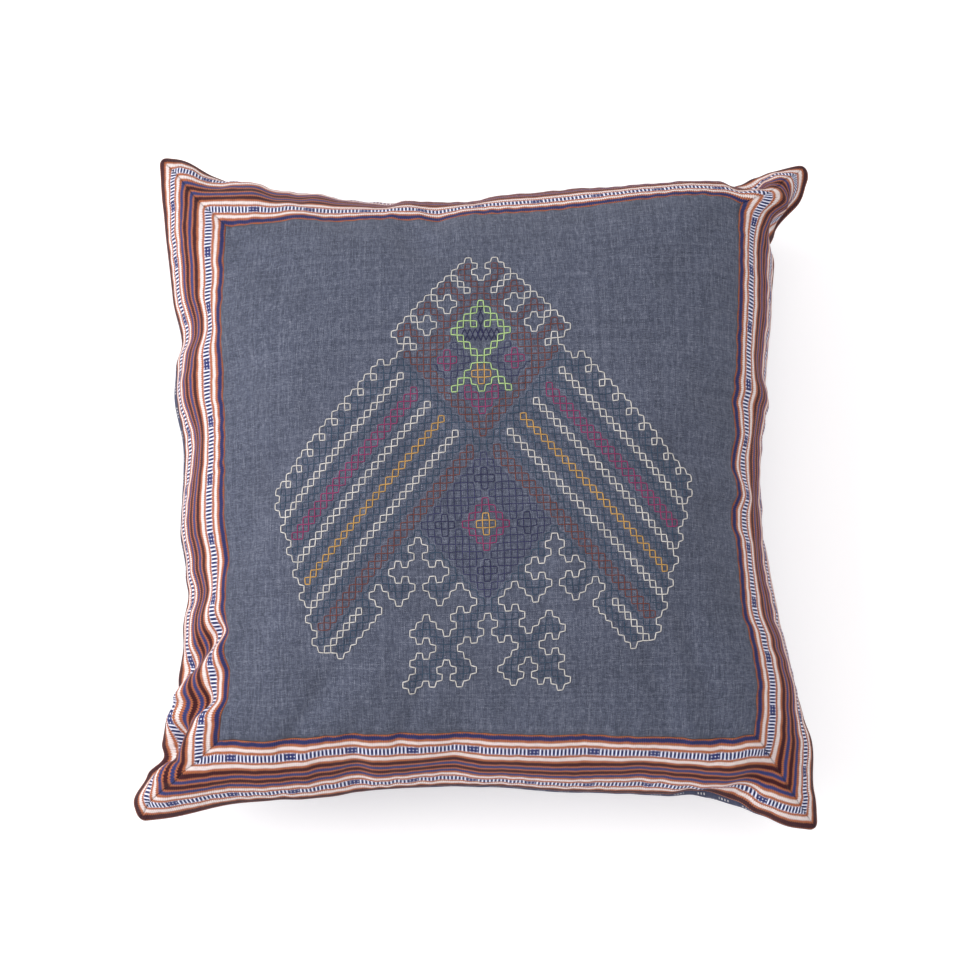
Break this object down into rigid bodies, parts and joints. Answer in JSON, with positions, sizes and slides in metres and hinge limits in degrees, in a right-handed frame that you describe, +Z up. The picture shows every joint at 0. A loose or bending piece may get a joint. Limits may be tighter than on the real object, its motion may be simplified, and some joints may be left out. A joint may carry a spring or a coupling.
{
  "type": "filled pillow cover",
  "caption": "Plump square pillow cover, plain woven front panel with stitched motif in a mitred frame of striped band cloth, plain back, pointed corners.",
  "frame": {"origin": "bottom centre of the bounding box, on the surface that the back lies on", "axes": "+Z up off that surface, through the front; +X to the right of the design and +Y to its top"},
  "size_m": [0.4865, 0.489, 0.1766],
  "materials": {
    "panel_cloth": "matt slub-woven cloth, blue-grey",
    "band_cloth": "warp-striped woven band cloth in rust, maroon, blue and off-white",
    "back_cloth": "matt slate-blue woven cloth with small white ticks near the seam",
    "thread": "stranded cotton stitches, cream, green, magenta, ochre, rust and blue"
  },
  "bodies": {
    "root": {"back_panel": "back_cloth", "front_panel": "panel_cloth", "border_top": "band_cloth", "border_bottom": "band_cloth", "border_left": "band_cloth", "border_right": "band_cloth"}
  },
  "joints": []
}
